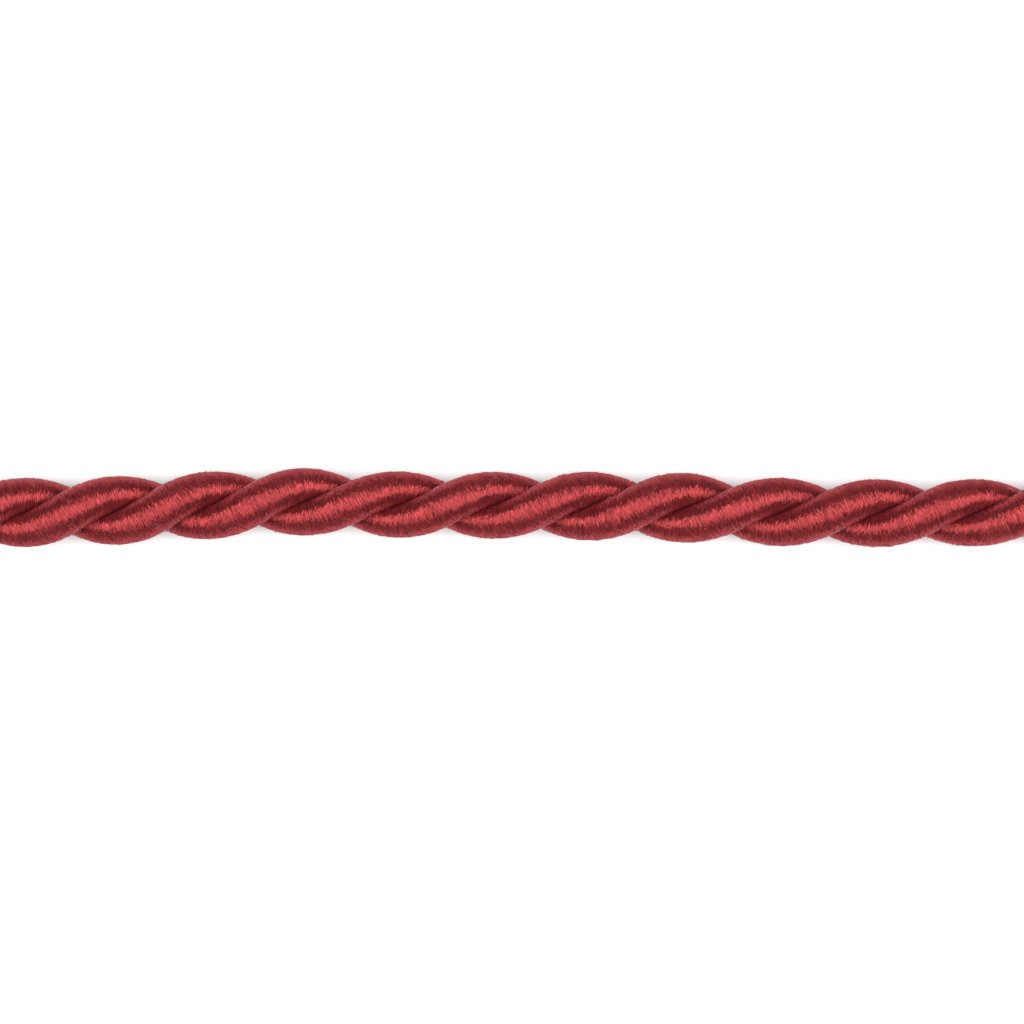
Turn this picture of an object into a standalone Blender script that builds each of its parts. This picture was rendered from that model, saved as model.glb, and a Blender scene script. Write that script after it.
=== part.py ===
"""Twisted cord trim: a cut length of decorator cord, lying on a flat surface.

Two wrapped plies are laid up with an S twist, half a turn apart. Each ply is swept along the
cord's centreline: its D-shaped section stands off that line and turns with the twist. The cord
runs along X and rests on z = 0, with the origin under its middle.
"""
import math

import bmesh
import bpy

MM = 0.001

# The cord, across its crests, and one ply, across its own run and out from the cord's axis.
CORD_WIDTH = 9.5 * MM
PLY_WIDTH = 5.75 * MM
PLY_OFF_AXIS = 2.3 * MM
PLY_GAP = 0.3 * MM
INNER_FLATNESS = 2.5

# The lay of the twist: the length of a half turn at the left end, and how it slackens.
HALF_TURNS = 13
HALF_TURN_LENGTH = 13.03 * MM
HALF_TURN_SLACKENS = 0.0356 * MM
CORD_LENGTH = HALF_TURNS * HALF_TURN_LENGTH + HALF_TURNS**2 * HALF_TURN_SLACKENS
TWIST_RATE = HALF_TURNS * math.pi / CORD_LENGTH
PLY_SLOPE = math.atan(PLY_OFF_AXIS * TWIST_RATE)

# The cord's own weight presses a small flat under each crest that touches the surface.
PRESSED_FLAT = 0.3 * MM

# How the cord lies: distance along it, drift to the side, and its girth against CORD_WIDTH.
LIE_COLUMNS = ("along", "drift", "girth")
LIE = (
    (-87.7, -0.71, 1.00),
    (-69.0, -0.71, 1.02),
    (-53.0, -0.33, 1.01),
    (-37.0, 0.57, 0.99),
    (-28.0, 0.81, 0.99),
    (-15.0, 0.43, 0.975),
    (1.0, 0.31, 0.99),
    (24.0, 0.02, 1.025),
    (37.0, -0.57, 1.005),
    (51.0, -0.78, 1.00),
    (67.0, -0.74, 0.99),
    (87.7, -0.64, 1.00),
)

# Mesh density: sections in each half turn, and points round one section.
STEPS_PER_HALF_TURN = 12
SECTION_POINTS = 18

WELD = 0.001 * MM
SMOOTH_UNDER = math.radians(50)
CRIMSON_SATIN = (0.44, 0.045, 0.055, 1.0)
SATIN_ROUGHNESS = 0.42


def lie_at(along, column):
    """One column of the lie table at a distance along the cord, on a smooth cubic."""
    rows = [(row[0] * MM, row[LIE_COLUMNS.index(column)]) for row in LIE]
    span = max(i for i in range(len(rows) - 1) if i == 0 or rows[i][0] <= along)
    (x0, y0), (x1, y1) = rows[span], rows[span + 1]
    before, after = rows[max(span - 1, 0)], rows[min(span + 2, len(rows) - 1)]
    slope0 = (y1 - before[1]) / (x1 - before[0])
    slope1 = (after[1] - y0) / (after[0] - x0)
    width = x1 - x0
    t = (along - x0) / width
    return (
        (2 * t**3 - 3 * t**2 + 1) * y0
        + (t**3 - 2 * t**2 + t) * width * slope0
        + (3 * t**2 - 2 * t**3) * y1
        + (t**3 - t**2) * width * slope1
    )


def station(half_turns):
    """The cord at a number of half turns from its left end: centreline point and girth."""
    along = -CORD_LENGTH / 2 + half_turns * HALF_TURN_LENGTH + half_turns**2 * HALF_TURN_SLACKENS
    girth = lie_at(along, "girth")
    height = girth * CORD_WIDTH / 2 - PRESSED_FLAT
    return (along, lie_at(along, "drift") * MM, height), girth


def ply_section():
    """A ply's section cut square across the cord, as points across and out from its axis.

    Square to its own run the ply is oval outside and flatter against the other ply. The run
    slopes, so a point to the side of it meets this cut a little further round the twist.
    """
    crown = CORD_WIDTH / 2 - PLY_OFF_AXIS
    inner_depth = PLY_OFF_AXIS - PLY_GAP / 2
    points = []
    for i in range(SECTION_POINTS):
        turn = 2 * math.pi * i / SECTION_POINTS
        side, out = math.sin(turn) * PLY_WIDTH / 2, math.cos(turn) * crown
        if out < 0:
            power = 2 / INNER_FLATNESS
            side = math.copysign(abs(math.sin(turn)) ** power, side) * PLY_WIDTH / 2
            out = -abs(math.cos(turn)) ** power * inner_depth
        radius = PLY_OFF_AXIS + out
        further_round = TWIST_RATE * side * math.sin(PLY_SLOPE)
        side *= math.cos(PLY_SLOPE)
        across = side * math.cos(further_round) + radius * math.sin(further_round)
        outward = radius * math.cos(further_round) - side * math.sin(further_round)
        points.append((across, max(outward, PLY_GAP / 2)))
    return points


def poly_curve(name, points, closed):
    """A curve object of straight steps through the points, linked to the scene."""
    curve = bpy.data.curves.new(name, "CURVE")
    curve.dimensions = "3D"
    spline = curve.splines.new("POLY")
    spline.points.add(len(points) - 1)
    for spline_point, point in zip(spline.points, points):
        spline_point.co = (*point, 1.0)
    spline.use_cyclic_u = closed
    curve_object = bpy.data.objects.new(name, curve)
    bpy.context.scene.collection.objects.link(curve_object)
    return curve_object


def swept_ply(name, section, start_turn):
    """The section swept down the cord, tilted by the S twist, as an evaluated mesh."""
    count = HALF_TURNS * STEPS_PER_HALF_TURN + 1
    half_turns = [i / STEPS_PER_HALF_TURN for i in range(count)]
    stations = [station(turned) for turned in half_turns]
    sweep = poly_curve(name + "_sweep", [point for point, girth in stations], closed=False)
    sweep.data.twist_mode = "Z_UP"
    sweep.data.bevel_mode = "OBJECT"
    sweep.data.bevel_object = section
    sweep.data.use_fill_caps = True
    for spline_point, turned, (point, girth) in zip(sweep.data.splines[0].points, half_turns, stations):
        spline_point.tilt = -(start_turn + turned) * math.pi
        spline_point.radius = girth
    bpy.context.view_layer.update()
    evaluated = sweep.evaluated_get(bpy.context.evaluated_depsgraph_get())
    mesh = bpy.data.meshes.new_from_object(evaluated)
    bpy.data.objects.remove(sweep)
    return mesh


def rest_on_surface(mesh):
    """Weld the cut ends to the sides, and press what lies below the surface flat onto it."""
    solid = bmesh.new()
    solid.from_mesh(mesh)
    bmesh.ops.remove_doubles(solid, verts=solid.verts, dist=WELD)
    for vert in solid.verts:
        vert.co.z = max(vert.co.z, 0.0)
    bmesh.ops.recalc_face_normals(solid, faces=solid.faces)
    solid.to_mesh(mesh)
    solid.free()
    mesh.shade_smooth()
    mesh.set_sharp_from_angle(angle=SMOOTH_UNDER)


def satin_material(name):
    """Crimson satin thread."""
    material = bpy.data.materials.new(name)
    material.use_nodes = True
    shader = material.node_tree.nodes["Principled BSDF"]
    shader.inputs["Base Color"].default_value = CRIMSON_SATIN
    shader.inputs["Roughness"].default_value = SATIN_ROUGHNESS
    shader.inputs["Metallic"].default_value = 0.0
    return material


def build():
    for old in list(bpy.data.objects):
        bpy.data.objects.remove(old)
    cord = bpy.data.collections.new("twisted_cord_trim")
    bpy.context.scene.collection.children.link(cord)
    section = poly_curve("ply_section", [(x, y, 0.0) for x, y in ply_section()], closed=True)
    for number in (1, 2):
        name = f"ply_{number}"
        mesh = swept_ply(name, section, start_turn=number - 1)
        mesh.name = name
        rest_on_surface(mesh)
        mesh.materials.clear()
        mesh.materials.append(satin_material(name + "_satin"))
        cord.objects.link(bpy.data.objects.new(name, mesh))
    bpy.data.objects.remove(section)


build()
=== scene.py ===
"""The looks of the twisted cord trim: satin thread wound close round two plies, on a pale floor."""
import math

import bmesh
import bpy
import numpy as np
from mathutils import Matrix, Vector


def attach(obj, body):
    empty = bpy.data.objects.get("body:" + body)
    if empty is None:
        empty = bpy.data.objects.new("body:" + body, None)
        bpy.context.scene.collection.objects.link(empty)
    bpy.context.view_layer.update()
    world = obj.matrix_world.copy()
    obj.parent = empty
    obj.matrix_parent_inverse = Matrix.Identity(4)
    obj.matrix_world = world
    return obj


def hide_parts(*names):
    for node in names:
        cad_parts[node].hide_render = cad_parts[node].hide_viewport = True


MM = 0.001

# The cord, as the solids have it: across its crests, one ply, and the lay of the twist.
CORD_WIDTH = 9.5 * MM
PLY_WIDTH = 5.75 * MM
PLY_OFF_AXIS = 2.3 * MM
PLY_GAP = 0.01 * MM
INNER_FLATNESS = 2.2
HALF_TURNS = 13
HALF_TURN_LENGTH = 13.03 * MM
HALF_TURN_SLACKENS = 0.0356 * MM
CORD_LENGTH = HALF_TURNS * HALF_TURN_LENGTH + HALF_TURNS**2 * HALF_TURN_SLACKENS
TWIST_RATE = HALF_TURNS * math.pi / CORD_LENGTH
PLY_SLOPE = math.atan(PLY_OFF_AXIS * TWIST_RATE)
PLY_REACH = (CORD_LENGTH + PLY_WIDTH) / 2
PLY_RUN = 2 * PLY_REACH / math.cos(PLY_SLOPE)
PLY_GIRTH = math.pi * PLY_WIDTH * 0.9
PRESSED_FLAT = 0.3 * MM
ROUTE_POINTS = 40

# How the cord lies: distance along it, drift to the side, and its girth against CORD_WIDTH.
LIE_COLUMNS = ("along", "drift", "girth")
LIE = (
    (-87.7, -0.71, 1.00),
    (-69.0, -0.71, 1.02),
    (-53.0, -0.33, 1.01),
    (-37.0, 0.57, 0.99),
    (-28.0, 0.81, 0.99),
    (-15.0, 0.43, 0.975),
    (1.0, 0.31, 0.99),
    (24.0, 0.02, 1.025),
    (37.0, -0.57, 1.005),
    (51.0, -0.78, 1.00),
    (67.0, -0.74, 0.99),
    (87.7, -0.64, 1.00),
)

# The wrapping thread: its spacing along the ply, how far it stands up, and how unevenly it lies.
WRAP_PITCH = 0.31 * MM
WRAP_HEIGHT = 0.09 * MM
WRAP_SUNK = 0.1
ROWS_PER_WRAP = 4
POINTS_ROUND = 36
THREAD_SWELL = 0.04 * MM
SWELLS_PER_TURN = 17
PROUD_THREAD = 0.13 * MM
PROUD_RARITY = 10
THREAD_WANDER = 0.07 * MM
WANDERS_PER_TURN = 5.3
PLY_LUMP = 0.01 * MM
LUMP_LENGTHS = (3.0 * MM, 9.0 * MM)
LUMP_WAVES = 10

# The cut ends: rings of the cut yarn, each a share of the rim, and how proud of it they stand.
CUT_END_RINGS = ((0.93, 0.06 * MM), (0.8, 0.14 * MM), (0.5, 0.22 * MM))
RIM_SMOOTHING = 4

# Loose filaments on the wraps, drawn three times too thick so that the finest ones show.
LOOSE_FIBRES = 150
FIBRE_STEPS = 7
FIBRE_SIDES = 3
FIBRE_RADIUS = 0.028 * MM
FIBRE_LENGTHS = (0.5 * MM, 1.5 * MM)
FIBRE_LIFT = 0.28 * MM

# Crimson viscose thread, as each wrap took the dye, its cut ends darkened with painted shade, and its loose
# filaments paled partly by a painted glint.
SATIN_DEEP = "7C2E35"
SATIN_LIGHT = "B04240"
VISCOSE_IOR = 1.53
# Both cut-end colours are darker than the wraps as painted shade; the deeper one is painted shade in the
# gaps between fibre ends.
CUT_END_PAINTED_SHADE = "6E1F27"
CUT_END_LIGHT = "93393F"
# Pale pink: partly the little dye a thin filament holds, partly a painted glint of the light it catches.
LOOSE_FIBRE_THIN_DYE_AND_GLINT = "E6A0A2"
SATIN_GLOSS = {
    "Metallic": 0.7,
    "Anisotropic": 1.0,
    "Anisotropic Rotation": 0.25,
    "Specular IOR Level": 0.1,
    "Sheen Weight": 0.04,
    "Sheen Roughness": 0.5,
    "Subsurface Weight": 0.8,
    "Subsurface Scale": 0.4 * MM,
    "Subsurface Radius": (1.0, 0.35, 0.35),
}
SATIN_SHEEN = "C890B0"
SATIN_EDGE = "F0CED2"

# Patterns on the wound thread: grain round the ply and along it in millimetres, and octaves.
THREAD_PATTERNS = {
    "streaks": (1.2, 0.17, 2.0),
    "patches": (2.5, 1.6, 2.0),
    "slackness": (0.6, 0.17, 2.0),
    "leans": (0.6, 0.17, 1.0),
    "filaments": (0.9, 0.12, 2.0),
}
STREAK_SHARE = 3.0
THREAD_LEAN = 0.36
FILAMENT_HEIGHT = 0.02 * MM
CUT_FIBRE_GRAIN = 0.16 * MM
CUT_FIBRE_DEPTH = 0.12 * MM

# The photograph's frame: width of cord that it takes in, and the point of it at the middle.
VIEW_WIDTH = 145.6 * MM
VIEW_CENTRE = (1.15 * MM, -0.635 * MM)
CAMERA_LENS = 135.0
CAMERA_SENSOR = 36.0

# The studio: a long soft lamp over the cord, as wide as seen from it, and what the walls add.
LAMP_HEIGHT = 2.0
LAMP_HALF_ANGLES = (math.radians(66), math.radians(25.5))
LAMP_LEAN = math.radians(1.5)
LAMP_RADIANCE = 3.75
WALL_GLOW = 0.045
BACKDROP_GLOW = 1.3
WALL_TINT = "E8F0FF"
FLOOR_SIZE = 6.0


def lie_at(along, column):
    """One column of the lie table at distances along the cord, on a smooth cubic."""
    place = np.array([row[0] for row in LIE]) * MM
    value = np.array([row[LIE_COLUMNS.index(column)] for row in LIE])
    last = len(LIE) - 1
    span = np.clip(np.searchsorted(place, along, side="right") - 1, 0, last - 1)
    before = np.maximum(span - 1, 0)
    after = np.minimum(span + 2, last)
    width = place[span + 1] - place[span]
    slope0 = (value[span + 1] - value[before]) / (place[span + 1] - place[before])
    slope1 = (value[after] - value[span]) / (place[after] - place[span])
    t = (along - place[span]) / width
    return (
        (2 * t**3 - 3 * t**2 + 1) * value[span]
        + (t**3 - 2 * t**2 + t) * width * slope0
        + (3 * t**2 - 2 * t**3) * value[span + 1]
        + (t**3 - t**2) * width * slope1
    )


def centreline(along):
    """The cord's centreline at distances along it: drift, height, heading and girth."""
    step = 0.5 * MM
    drift = lie_at(along, "drift") * MM
    ahead = lie_at(along + step, "drift") * MM
    behind = lie_at(along - step, "drift") * MM
    heading = np.arctan((ahead - behind) / (2 * step))
    girth = lie_at(along, "girth")
    height = girth * CORD_WIDTH / 2 - PRESSED_FLAT
    return drift, height, heading, girth


def twist_at(along):
    """The angle of the twist at distances along the cord, from its left end."""
    run = along + CORD_LENGTH / 2
    half_turns = 2 * run / (
        HALF_TURN_LENGTH + np.sqrt(HALF_TURN_LENGTH**2 + 4 * HALF_TURN_SLACKENS * run)
    )
    return half_turns * math.pi


def thread_noise(turns, cells_per_turn, seed):
    """Smooth noise from -1 to 1 along the wrapping thread, new at each of its turns."""
    cell = (turns - turns.min()) * cells_per_turn
    values = np.random.default_rng(seed).uniform(-1, 1, int(cell.max()) + 2)
    left = np.floor(cell).astype(int)
    t = cell - left
    blend = t * t * (3 - 2 * t)
    return values[left] * (1 - blend) + values[left + 1] * blend


def lumps(run, turn, seed):
    """Soft unevenness of the ply under its wraps, about -1 to 1, closed round the ply."""
    rng = np.random.default_rng(seed)
    total = np.zeros_like(run)
    for _ in range(LUMP_WAVES):
        length = rng.uniform(*LUMP_LENGTHS)
        around = rng.integers(-3, 4)
        total += np.sin(2 * np.pi * run / length + around * turn + rng.uniform(0, 2 * np.pi))
    return total / math.sqrt(LUMP_WAVES)


def on_ply(run, turn, stand, start_turn):
    """Points on a ply: along its run, round it, and standing proud of its plain section.

    Square to its own run the ply is oval outside and flatter against the other ply. The run
    slopes, so a point to the side of it lies a little further along the cord and round the twist.
    """
    crown = CORD_WIDTH / 2 - PLY_OFF_AXIS
    inner_depth = PLY_OFF_AXIS - PLY_GAP / 2
    outer = np.cos(turn) >= 0
    power = np.where(outer, 1.0, 2 / INNER_FLATNESS)
    side = np.sign(np.sin(turn)) * np.abs(np.sin(turn)) ** power * (PLY_WIDTH / 2 + stand)
    out = np.sign(np.cos(turn)) * np.abs(np.cos(turn)) ** power
    radius = PLY_OFF_AXIS + out * (np.where(outer, crown, inner_depth) + stand)

    along = run * math.cos(PLY_SLOPE) - PLY_REACH - side * math.sin(PLY_SLOPE)
    further_round = TWIST_RATE * side * math.sin(PLY_SLOPE)
    level = side * math.cos(PLY_SLOPE)
    across = level * np.cos(further_round) + radius * np.sin(further_round)
    outward = radius * np.cos(further_round) - level * np.sin(further_round)
    outward = np.maximum(outward, PLY_GAP / 2)

    drift, height, heading, girth = centreline(along)
    angle = twist_at(along) + start_turn * math.pi
    sideways = girth * (outward * np.sin(angle) + across * np.cos(angle))
    upward = girth * (outward * np.cos(angle) - across * np.sin(angle))
    x = along - sideways * np.sin(heading)
    y = drift + sideways * np.cos(heading)
    z = np.maximum(height + upward, 0.0)
    return np.stack([x, y, z], axis=-1)


def wrapped_ply(name, start_turn, seed):
    """One ply with its wrapping thread, on a grid whose rows run along the thread's spiral."""
    wraps = int(PLY_RUN / WRAP_PITCH)
    row, column = np.meshgrid(
        np.arange(wraps * ROWS_PER_WRAP + 1), np.arange(POINTS_ROUND), indexing="ij"
    )
    turn = 2 * np.pi * column / POINTS_ROUND
    wound = row / ROWS_PER_WRAP + column / POINTS_ROUND
    run = wound * PLY_RUN / (wraps + 1)
    run = run + THREAD_WANDER * thread_noise(wound, WANDERS_PER_TURN, seed)

    over_thread = (row % ROWS_PER_WRAP) / ROWS_PER_WRAP
    ridge = WRAP_HEIGHT * (np.sqrt(1 - (2 * over_thread - 1) ** 2) - WRAP_SUNK)
    thread = row // ROWS_PER_WRAP + column / POINTS_ROUND
    swell = THREAD_SWELL * thread_noise(thread, SWELLS_PER_TURN, seed + 1)
    proud = PROUD_THREAD * thread_noise(thread, SWELLS_PER_TURN, seed + 3) ** PROUD_RARITY
    stand = ridge + swell + proud + PLY_LUMP * lumps(run, turn, seed + 2)
    mesh = wound_mesh(name, on_ply(run, turn, stand, start_turn), run)
    cut_square(mesh)
    ply = bpy.data.objects.new(name, mesh)
    bpy.context.scene.collection.objects.link(ply)
    return ply


def wound_mesh(name, points, run):
    """A mesh on the spiral grid, with a UV map in millimetres round the ply and along it."""
    rows = points.shape[0]
    number = np.arange(rows * POINTS_ROUND).reshape(rows, POINTS_ROUND)
    joined = np.concatenate([number, np.roll(number[:, :1], -ROWS_PER_WRAP, axis=0)], axis=1)
    run = np.concatenate([run, np.roll(run[:, :1], -ROWS_PER_WRAP, axis=0)], axis=1)
    round_ply = np.arange(POINTS_ROUND + 1) * PLY_GIRTH / POINTS_ROUND
    winding = np.stack([np.broadcast_to(round_ply, run.shape), run], axis=-1) / MM

    # The last turn has no wrap beyond it for its end to join.
    whole = np.ones((rows - 1, POINTS_ROUND), dtype=bool)
    whole[rows - 1 - ROWS_PER_WRAP :, -1] = False
    faces = np.stack([corner[whole] for corner in grid_corners(joined)], axis=1)
    uvs = np.stack([corner[whole] for corner in grid_corners(winding)], axis=1)

    mesh = bpy.data.meshes.new(name)
    mesh.from_pydata(points.reshape(-1, 3).tolist(), [], faces.tolist())
    mesh.uv_layers.new(name="winding").data.foreach_set("uv", uvs.astype(np.float32).ravel())
    mesh.shade_smooth()
    return mesh


def grid_corners(grid):
    """The four corners of every face of a grid, in order round the face."""
    return grid[:-1, :-1], grid[:-1, 1:], grid[1:, 1:], grid[1:, :-1]


def cut_square(mesh):
    """Cut both ends square across the cord, with the cut yarn a little proud of its wraps."""
    ply = bmesh.new()
    ply.from_mesh(mesh)
    for end in (-1, 1):
        plane = Vector((end * CORD_LENGTH / 2, 0.0, 0.0))
        outward = Vector((end, 0.0, 0.0))
        cut = bmesh.ops.bisect_plane(
            ply,
            geom=ply.verts[:] + ply.edges[:] + ply.faces[:],
            plane_co=plane,
            plane_no=outward,
            clear_outer=True,
        )
        rim = [piece for piece in cut["geom_cut"] if isinstance(piece, bmesh.types.BMEdge)]
        close_end(ply, rim, outward)
    bmesh.ops.recalc_face_normals(ply, faces=ply.faces[:])
    ply.to_mesh(mesh)
    ply.free()


def close_end(ply, rim, outward):
    """Close a cut rim with rings of yarn that rise to a low dome."""
    for edge in rim:
        edge.smooth = False
    lids = bmesh.ops.holes_fill(ply, edges=rim, sides=0)["faces"]
    lid = max(lids, key=lambda face: face.calc_area())
    outer = [corner.vert for corner in lid.loops]
    bmesh.ops.delete(ply, geom=[lid], context="FACES_ONLY")
    place = np.array([vert.co for vert in outer])
    centre = place.mean(axis=0)
    spread = range(-RIM_SMOOTHING, RIM_SMOOTHING + 1)
    soft = np.mean([np.roll(place, shift, axis=0) for shift in spread], axis=0)
    for share, proud in CUT_END_RINGS:
        ring = centre + (soft - centre) * share + np.array(outward) * proud
        inner = [ply.verts.new(point) for point in ring]
        for i in range(len(outer)):
            face = ply.faces.new((outer[i - 1], outer[i], inner[i], inner[i - 1]))
            face.material_index = 1
            face.smooth = True
        outer = inner
    ply.faces.new(outer).material_index = 1


def loose_fibres(name, seed):
    """Fine filaments that have worked loose from the wraps, as thin tubes in one mesh."""
    rng = np.random.default_rng(seed)
    count = LOOSE_FIBRES
    step = np.linspace(0, 1, FIBRE_STEPS)
    length = rng.uniform(*FIBRE_LENGTHS, (count, 1))
    lean = rng.uniform(0, 2 * np.pi, (count, 1))
    curl = rng.uniform(-1.5, 1.5, (count, 1))
    run = rng.uniform(0.04, 0.96, (count, 1)) * PLY_RUN + length * step * np.cos(lean + curl * step)
    turn = rng.uniform(-1.9, 1.9, (count, 1)) + length * step * np.sin(lean + curl * step) / (PLY_WIDTH / 2)
    lift = rng.uniform(0.3, 1.0, (count, 1)) * FIBRE_LIFT
    stand = np.where(rng.random((count, 1)) < 0.6, lift * np.sin(np.pi * step), lift * step**1.5)
    start_turn = rng.integers(0, 2, (count, 1))
    path = on_ply(run, turn, stand, start_turn)

    ahead = np.gradient(path, axis=1)
    ahead /= np.linalg.norm(ahead, axis=-1, keepdims=True)
    beside = np.cross(ahead, (0.31, 0.17, 0.94))
    beside /= np.linalg.norm(beside, axis=-1, keepdims=True)
    above = np.cross(ahead, beside)
    taper = FIBRE_RADIUS * (1 - 0.6 * step[None, :, None])
    rings = []
    for corner in range(FIBRE_SIDES):
        angle = 2 * math.pi * corner / FIBRE_SIDES
        rings.append(path + taper * (beside * math.cos(angle) + above * math.sin(angle)))
    points = np.stack(rings, axis=2).reshape(-1, 3)
    points[:, 2] = np.maximum(points[:, 2], 0.0)
    number = np.arange(len(points)).reshape(count, FIBRE_STEPS, FIBRE_SIDES)
    faces = []
    for corner in range(FIBRE_SIDES):
        here = number[:, :, corner]
        there = number[:, :, (corner + 1) % FIBRE_SIDES]
        sides = np.stack([here[:, :-1], there[:, :-1], there[:, 1:], here[:, 1:]], axis=-1)
        faces += sides.reshape(-1, 4).tolist()
    faces += number[:, 0, ::-1].tolist() + number[:, -1].tolist()
    mesh = bpy.data.meshes.new(name)
    mesh.from_pydata(points.tolist(), [], faces)
    mesh.shade_smooth()
    fibres = bpy.data.objects.new(name, mesh)
    bpy.context.scene.collection.objects.link(fibres)
    return fibres


def linear(hex_colour):
    """An sRGB hex colour as linear red, green, blue and alpha."""
    channels = [int(hex_colour[i : i + 2], 16) / 255 for i in (0, 2, 4)]
    return [c / 12.92 if c <= 0.04045 else ((c + 0.055) / 1.055) ** 2.4 for c in channels] + [1.0]


def add_node(tree, kind, inputs=None, **settings):
    """A shader node with its settings, and its inputs set to values or linked to sockets."""
    node = tree.nodes.new(kind)
    for setting, value in settings.items():
        setattr(node, setting, value)
    for socket, value in (inputs or {}).items():
        if isinstance(value, bpy.types.NodeSocket):
            tree.links.new(value, node.inputs[socket])
        else:
            node.inputs[socket].default_value = value
    return node


def new_material(name):
    """An empty material, its node tree and its shader."""
    material = bpy.data.materials.new(name)
    material.use_nodes = True
    return material, material.node_tree, material.node_tree.nodes["Principled BSDF"]


def wound_viscose_satin():
    """Filament viscose wound close round the ply.

    Its parallel filaments throw the light off sharply along themselves and widely across
    themselves: a bright ragged band runs along the ply where they lie level, with deep crimson
    on both sides of it. Dyed filaments colour their own gloss, so it is drawn as part metal.
    """
    material, tree, shader = new_material("wound_viscose_satin")
    winding = add_node(tree, "ShaderNodeUVMap", uv_map="winding").outputs["UV"]
    pattern = {}
    for use, (round_mm, along_mm, octaves) in THREAD_PATTERNS.items():
        grain = add_node(
            tree,
            "ShaderNodeMapping",
            {"Vector": winding, "Scale": (1 / round_mm, 1 / along_mm, 1.0)},
        )
        noise = add_node(
            tree,
            "ShaderNodeTexNoise",
            {"Vector": grain.outputs["Vector"], "Scale": 1.0, "Detail": octaves},
            noise_dimensions="2D",
        )
        pattern[use] = noise.outputs["Fac"]

    # Each wrap took the dye a little differently, in streaks along the thread and soft patches.
    dye = add_node(
        tree,
        "ShaderNodeMath",
        {0: pattern["streaks"], 1: STREAK_SHARE, 2: pattern["patches"]},
        operation="MULTIPLY_ADD",
    )
    tone = add_node(
        tree, "ShaderNodeMapRange", {"Value": dye.outputs[0], "From Min": 1.25, "From Max": 2.75}
    )
    colour = add_node(
        tree,
        "ShaderNodeMix",
        {"Factor": tone.outputs["Result"], "A": linear(SATIN_DEEP), "B": linear(SATIN_LIGHT)},
        data_type="RGBA",
    )
    tree.links.new(colour.outputs[2], shader.inputs["Base Color"])

    # Slack filaments scatter the gloss, and tight ones keep it.
    roughness = add_node(
        tree,
        "ShaderNodeMapRange",
        {
            "Value": pattern["slackness"],
            "From Min": 0.3,
            "From Max": 0.7,
            "To Min": 0.3,
            "To Max": 0.52,
        },
    )
    tree.links.new(roughness.outputs["Result"], shader.inputs["Roughness"])

    # Filaments are 0.02 mm thick, and are drawn six times coarser.
    filaments = add_node(
        tree, "ShaderNodeBump", {"Height": pattern["filaments"], "Distance": FILAMENT_HEIGHT}
    )

    # Each wrap leans a few degrees up or down along itself, which makes the gloss ragged.
    round_ply = add_node(tree, "ShaderNodeTangent", direction_type="UV_MAP", uv_map="winding")
    lean = add_node(
        tree,
        "ShaderNodeMapRange",
        {"Value": pattern["leans"], "To Min": -THREAD_LEAN, "To Max": THREAD_LEAN},
    )
    leant = add_node(
        tree,
        "ShaderNodeVectorMath",
        {0: round_ply.outputs["Tangent"], 1: lean.outputs["Result"], 2: filaments.outputs["Normal"]},
        operation="MULTIPLY_ADD",
    )
    normal = add_node(tree, "ShaderNodeVectorMath", {0: leant.outputs[0]}, operation="NORMALIZE")
    tree.links.new(normal.outputs[0], shader.inputs["Normal"])
    tree.links.new(round_ply.outputs["Tangent"], shader.inputs["Tangent"])
    for socket, value in SATIN_GLOSS.items():
        shader.inputs[socket].default_value = value
    shader.inputs["IOR"].default_value = VISCOSE_IOR
    shader.inputs["Sheen Tint"].default_value = linear(SATIN_SHEEN)
    shader.inputs["Specular Tint"].default_value = linear(SATIN_EDGE)
    return material


def cut_viscose_yarn():
    """Yarn cut across: fibre ends that face the eye, so it is dull. It is painted darker than the wraps as
    shade among the fibre ends, deepest in the gaps where the bump sinks.
    """
    material, tree, shader = new_material("cut_viscose_yarn")
    place = add_node(tree, "ShaderNodeTexCoord").outputs["Object"]
    fibre_ends = add_node(
        tree,
        "ShaderNodeTexVoronoi",
        {"Vector": place, "Scale": 1 / CUT_FIBRE_GRAIN},
    )
    # Painted shade: each fibre end darkens from its middle toward the gaps between fibre ends, where the
    # bump sinks.
    colour = add_node(
        tree,
        "ShaderNodeMix",
        {
            "Factor": fibre_ends.outputs["Distance"],
            "A": linear(CUT_END_LIGHT),
            "B": linear(CUT_END_PAINTED_SHADE),
        },
        data_type="RGBA",
    )
    tree.links.new(colour.outputs[2], shader.inputs["Base Color"])
    bump = add_node(
        tree,
        "ShaderNodeBump",
        {"Height": fibre_ends.outputs["Distance"], "Distance": CUT_FIBRE_DEPTH},
        invert=True,
    )
    tree.links.new(bump.outputs["Normal"], shader.inputs["Normal"])
    shader.inputs["Roughness"].default_value = 0.85
    shader.inputs["IOR"].default_value = VISCOSE_IOR
    shader.inputs["Specular IOR Level"].default_value = 0.2
    return material


def loose_viscose_filament():
    """Single filaments: too fine to hold a deep shade of dye, so they are pale pink, and that pale pink
    base colour also paints the glint of light they catch.
    """
    material, tree, shader = new_material("loose_viscose_filament")
    place = add_node(tree, "ShaderNodeTexCoord").outputs["Object"]
    patches = add_node(tree, "ShaderNodeTexNoise", {"Vector": place, "Scale": 1 / (2 * MM)})
    # Patches of pale pink: partly thin dye, partly a painted glint.
    colour = add_node(
        tree,
        "ShaderNodeMix",
        {"Factor": patches.outputs["Fac"], "A": linear(SATIN_LIGHT), "B": linear(LOOSE_FIBRE_THIN_DYE_AND_GLINT)},
        data_type="RGBA",
    )
    tree.links.new(colour.outputs[2], shader.inputs["Base Color"])
    shader.inputs["Roughness"].default_value = 0.45
    shader.inputs["IOR"].default_value = VISCOSE_IOR
    return material


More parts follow.
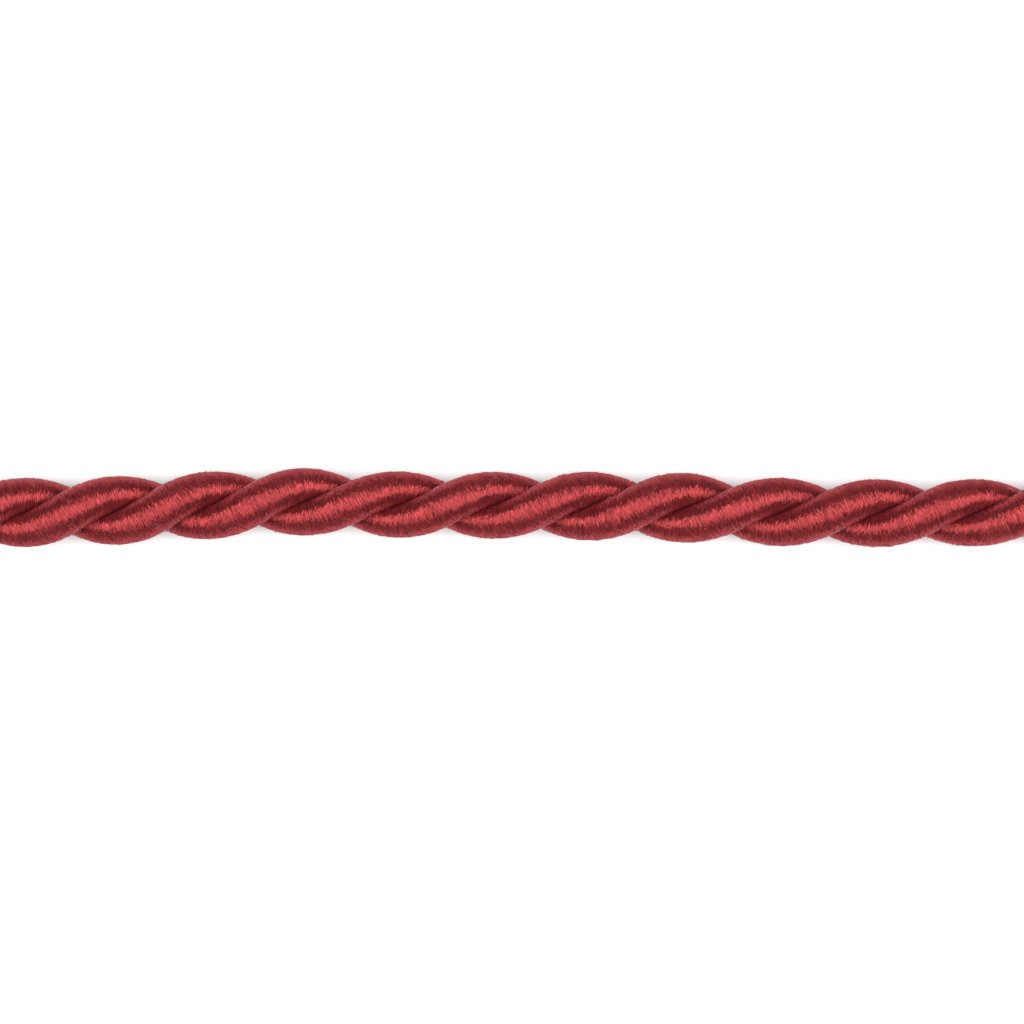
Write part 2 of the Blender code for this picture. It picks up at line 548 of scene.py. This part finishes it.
def camera():
    data = bpy.data.cameras.new("camera")
    data.lens = CAMERA_LENS
    data.sensor_width = CAMERA_SENSOR
    cam = bpy.data.objects.new("camera", data)
    distance = VIEW_WIDTH * CAMERA_LENS / CAMERA_SENSOR
    cam.location = (*VIEW_CENTRE, CORD_WIDTH / 2 + distance)
    bpy.context.scene.collection.objects.link(cam)
    bpy.context.scene.camera = cam


def floor():
    bpy.ops.mesh.primitive_plane_add(size=FLOOR_SIZE)
    plane = bpy.context.object
    plane.name = "floor"
    material = bpy.data.materials.new("white_floor")
    material.use_nodes = True
    shader = material.node_tree.nodes["Principled BSDF"]
    shader.inputs["Base Color"].default_value = (0.95, 0.95, 0.95, 1)
    shader.inputs["Roughness"].default_value = 0.9
    plane.data.materials.append(material)


def lights():
    """One long soft lamp straight overhead, along the cord, in a dim room."""
    lamp_size = [2 * LAMP_HEIGHT * math.tan(angle) for angle in LAMP_HALF_ANGLES]
    data = bpy.data.lights.new("overhead", "AREA")
    data.shape = "RECTANGLE"
    data.size, data.size_y = lamp_size
    data.energy = LAMP_RADIANCE * math.pi * lamp_size[0] * lamp_size[1]
    lamp = bpy.data.objects.new("overhead", data)
    lamp.location = (0, -LAMP_HEIGHT * math.tan(LAMP_LEAN), LAMP_HEIGHT)
    bpy.context.scene.collection.objects.link(lamp)
    world = bpy.data.worlds.new("studio")
    world.use_nodes = True
    tree = world.node_tree
    seen = add_node(tree, "ShaderNodeLightPath").outputs["Is Camera Ray"]
    glow = add_node(
        tree, "ShaderNodeMapRange", {"Value": seen, "To Min": WALL_GLOW, "To Max": BACKDROP_GLOW}
    )
    background = tree.nodes["Background"]
    background.inputs["Color"].default_value = linear(WALL_TINT)
    tree.links.new(glow.outputs["Result"], background.inputs["Strength"])
    bpy.context.scene.world = world
    bpy.context.scene.view_settings.view_transform = "Standard"


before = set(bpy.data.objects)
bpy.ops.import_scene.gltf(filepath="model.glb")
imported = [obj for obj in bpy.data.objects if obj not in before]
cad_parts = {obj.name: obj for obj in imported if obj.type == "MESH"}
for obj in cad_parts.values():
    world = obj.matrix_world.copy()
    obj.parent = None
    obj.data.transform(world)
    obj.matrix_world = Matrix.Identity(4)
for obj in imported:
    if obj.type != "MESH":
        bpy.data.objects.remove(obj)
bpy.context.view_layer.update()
camera()
floor()
lights()
satin = wound_viscose_satin()
cut_yarn = cut_viscose_yarn()
for index in (0, 1):
    ply = wrapped_ply(f"ply_{index + 1}_wrapped", start_turn=index, seed=11 + 100 * index)
    ply.data.materials.append(satin)
    ply.data.materials.append(cut_yarn)
    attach(ply, "root")
    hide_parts(f"ply_{index + 1}")
fibres = loose_fibres("loose_fibres", seed=5)
fibres.data.materials.append(loose_viscose_filament())
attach(fibres, "root")
route = np.linspace(-CORD_LENGTH / 2, CORD_LENGTH / 2, ROUTE_POINTS)
drift, height, heading, girth = centreline(route)
